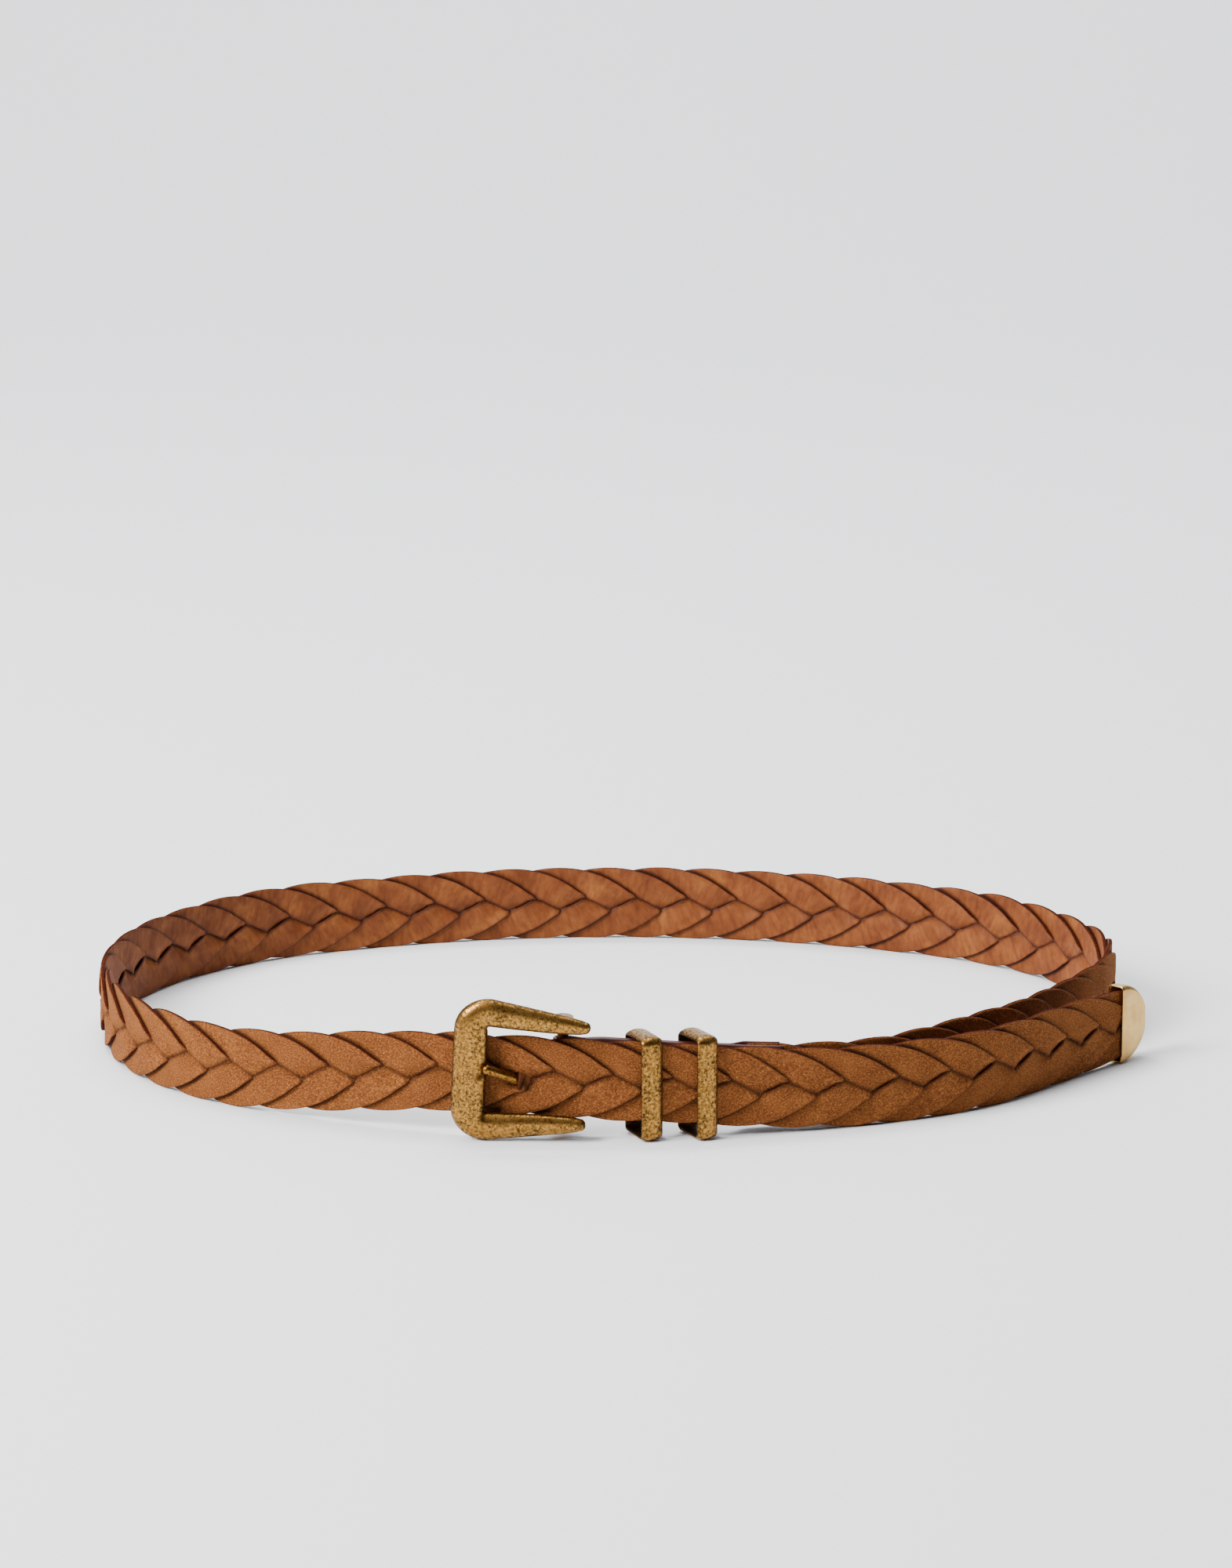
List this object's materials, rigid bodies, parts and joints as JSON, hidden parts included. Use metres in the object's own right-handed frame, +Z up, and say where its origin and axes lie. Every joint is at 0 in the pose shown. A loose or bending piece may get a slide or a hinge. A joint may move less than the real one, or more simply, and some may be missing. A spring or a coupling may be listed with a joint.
{
  "type": "braided leather belt",
  "caption": "Flat braided suede belt with a western prong buckle, loose metal keepers and a metal tip, buckled and standing on edge.",
  "frame": {"origin": "on the floor under the middle of the belt's box", "axes": "+X along the oval's long way, towards the metal tip; +Z up along the strap's width; -Y is the front, where the buckle is"},
  "size_m": [0.3382, 0.248, 0.0443],
  "materials": {
    "suede": "matt napped suede outside, smooth flesh side inside",
    "chape_leather": "smooth",
    "thread": "waxed thread",
    "antique_brass": "antiqued, half worn",
    "plain_brass": "satin",
    "satin_brass": "satin"
  },
  "bodies": {
    "strap": {"strand_1": "suede", "strand_2": "suede", "strand_3": "suede", "strand_4": "suede", "strand_5": "suede", "chape": "chape_leather", "heel_stitches": "thread", "joint_stitches": "thread"},
    "buckle": {"buckle_frame": "antique_brass", "heel_bar": "plain_brass"},
    "prong": {"prong": "antique_brass"},
    "first_keeper": {"first_keeper": "antique_brass"},
    "second_keeper": {"second_keeper": "antique_brass"},
    "free_end": {"tail_strand_1": "suede", "tail_strand_2": "suede", "tail_strand_3": "suede", "tail_strand_4": "suede", "tail_strand_5": "suede", "tip_cap": "satin_brass", "tip_rivet": "satin_brass"}
  },
  "joints": [
    {"name": "buckle_swing", "type": "hinge", "parent": "strap", "child": "buckle", "pos_m": [-0.01798, -0.11123, 0.02108], "axis": [0.0522, -0.004, 0.9986], "range_deg": [0, 6]},
    {"name": "prong_swing", "type": "hinge", "parent": "buckle", "child": "prong", "pos_m": [-0.01798, -0.11123, 0.02108], "axis": [0.0522, -0.004, 0.9986], "range_deg": [0, 5]},
    {"name": "first_keeper_slide", "type": "slide", "parent": "strap", "child": "first_keeper", "axis": [0.9993, 0.0387, 0], "range_m": [-0.007, 0.004]},
    {"name": "second_keeper_slide", "type": "slide", "parent": "strap", "child": "second_keeper", "axis": [0.9935, 0.1135, 0], "range_m": [-0.0035, 0.003]},
    {"name": "free_end_flex", "type": "hinge", "parent": "strap", "child": "free_end", "pos_m": [0.04111, -0.11511, 0.01514], "axis": [0, 0, -1], "range_deg": [0, 18], "stiffness_Nm_per_rad": 0.05}
  ]
}
